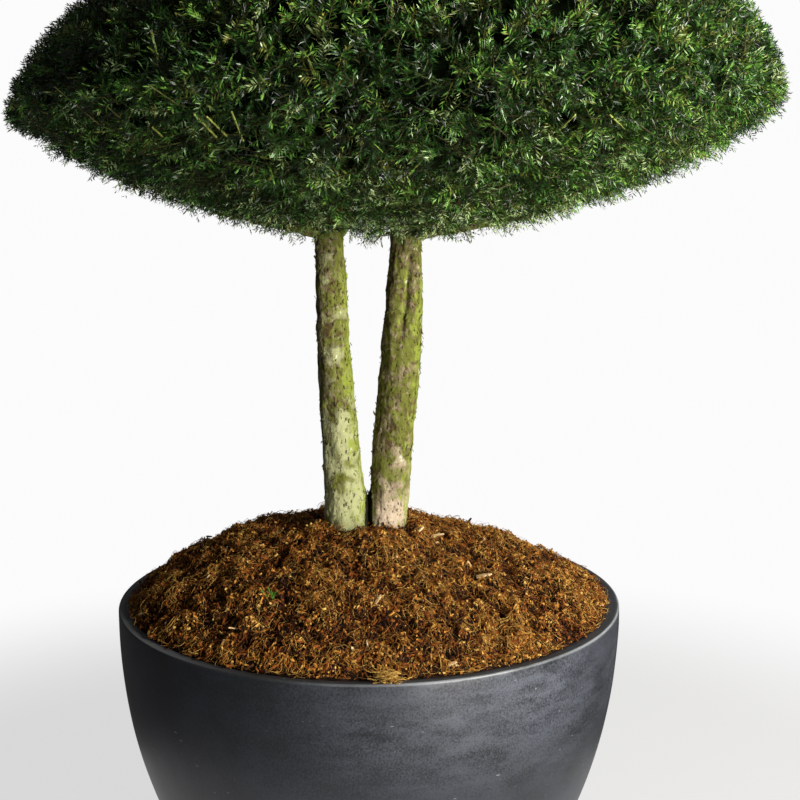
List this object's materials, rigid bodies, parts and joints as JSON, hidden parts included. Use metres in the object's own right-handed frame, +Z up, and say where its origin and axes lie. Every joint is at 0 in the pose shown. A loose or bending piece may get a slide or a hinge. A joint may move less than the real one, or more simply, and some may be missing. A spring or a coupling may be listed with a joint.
{
  "type": "potted english yew",
  "caption": "Umbrella-clipped evergreen yew on two leaning trunks, planted in a wide tapering bowl filled with bark mulch.",
  "frame": {"origin": "centre of the bowl's flat underside, where it stands on the floor", "axes": "+Z up, the front of the plant faces -Y, +X to the right seen from the front"},
  "size_m": [1.6324, 1.6234, 2.2179],
  "materials": {
    "planter": "matt anthracite moulded composite with a fine mottled grain",
    "mulch": "loose shredded bark and curled coir fibre over moist soil",
    "bark": "grey-pink flaking bark with yellow-green algae",
    "foliage": "dark green flat needles in two ranks"
  },
  "bodies": {
    "root": {"pot": "planter", "mulch_fill": "mulch", "trunk_left": "bark", "trunk_right": "bark", "bough_left": "bark", "bough_front_left": "bark", "bough_back_left": "bark", "bough_inner": "bark", "bough_right": "bark", "bough_front_right": "bark", "bough_back_right": "bark", "crown": "foliage"}
  },
  "joints": []
}
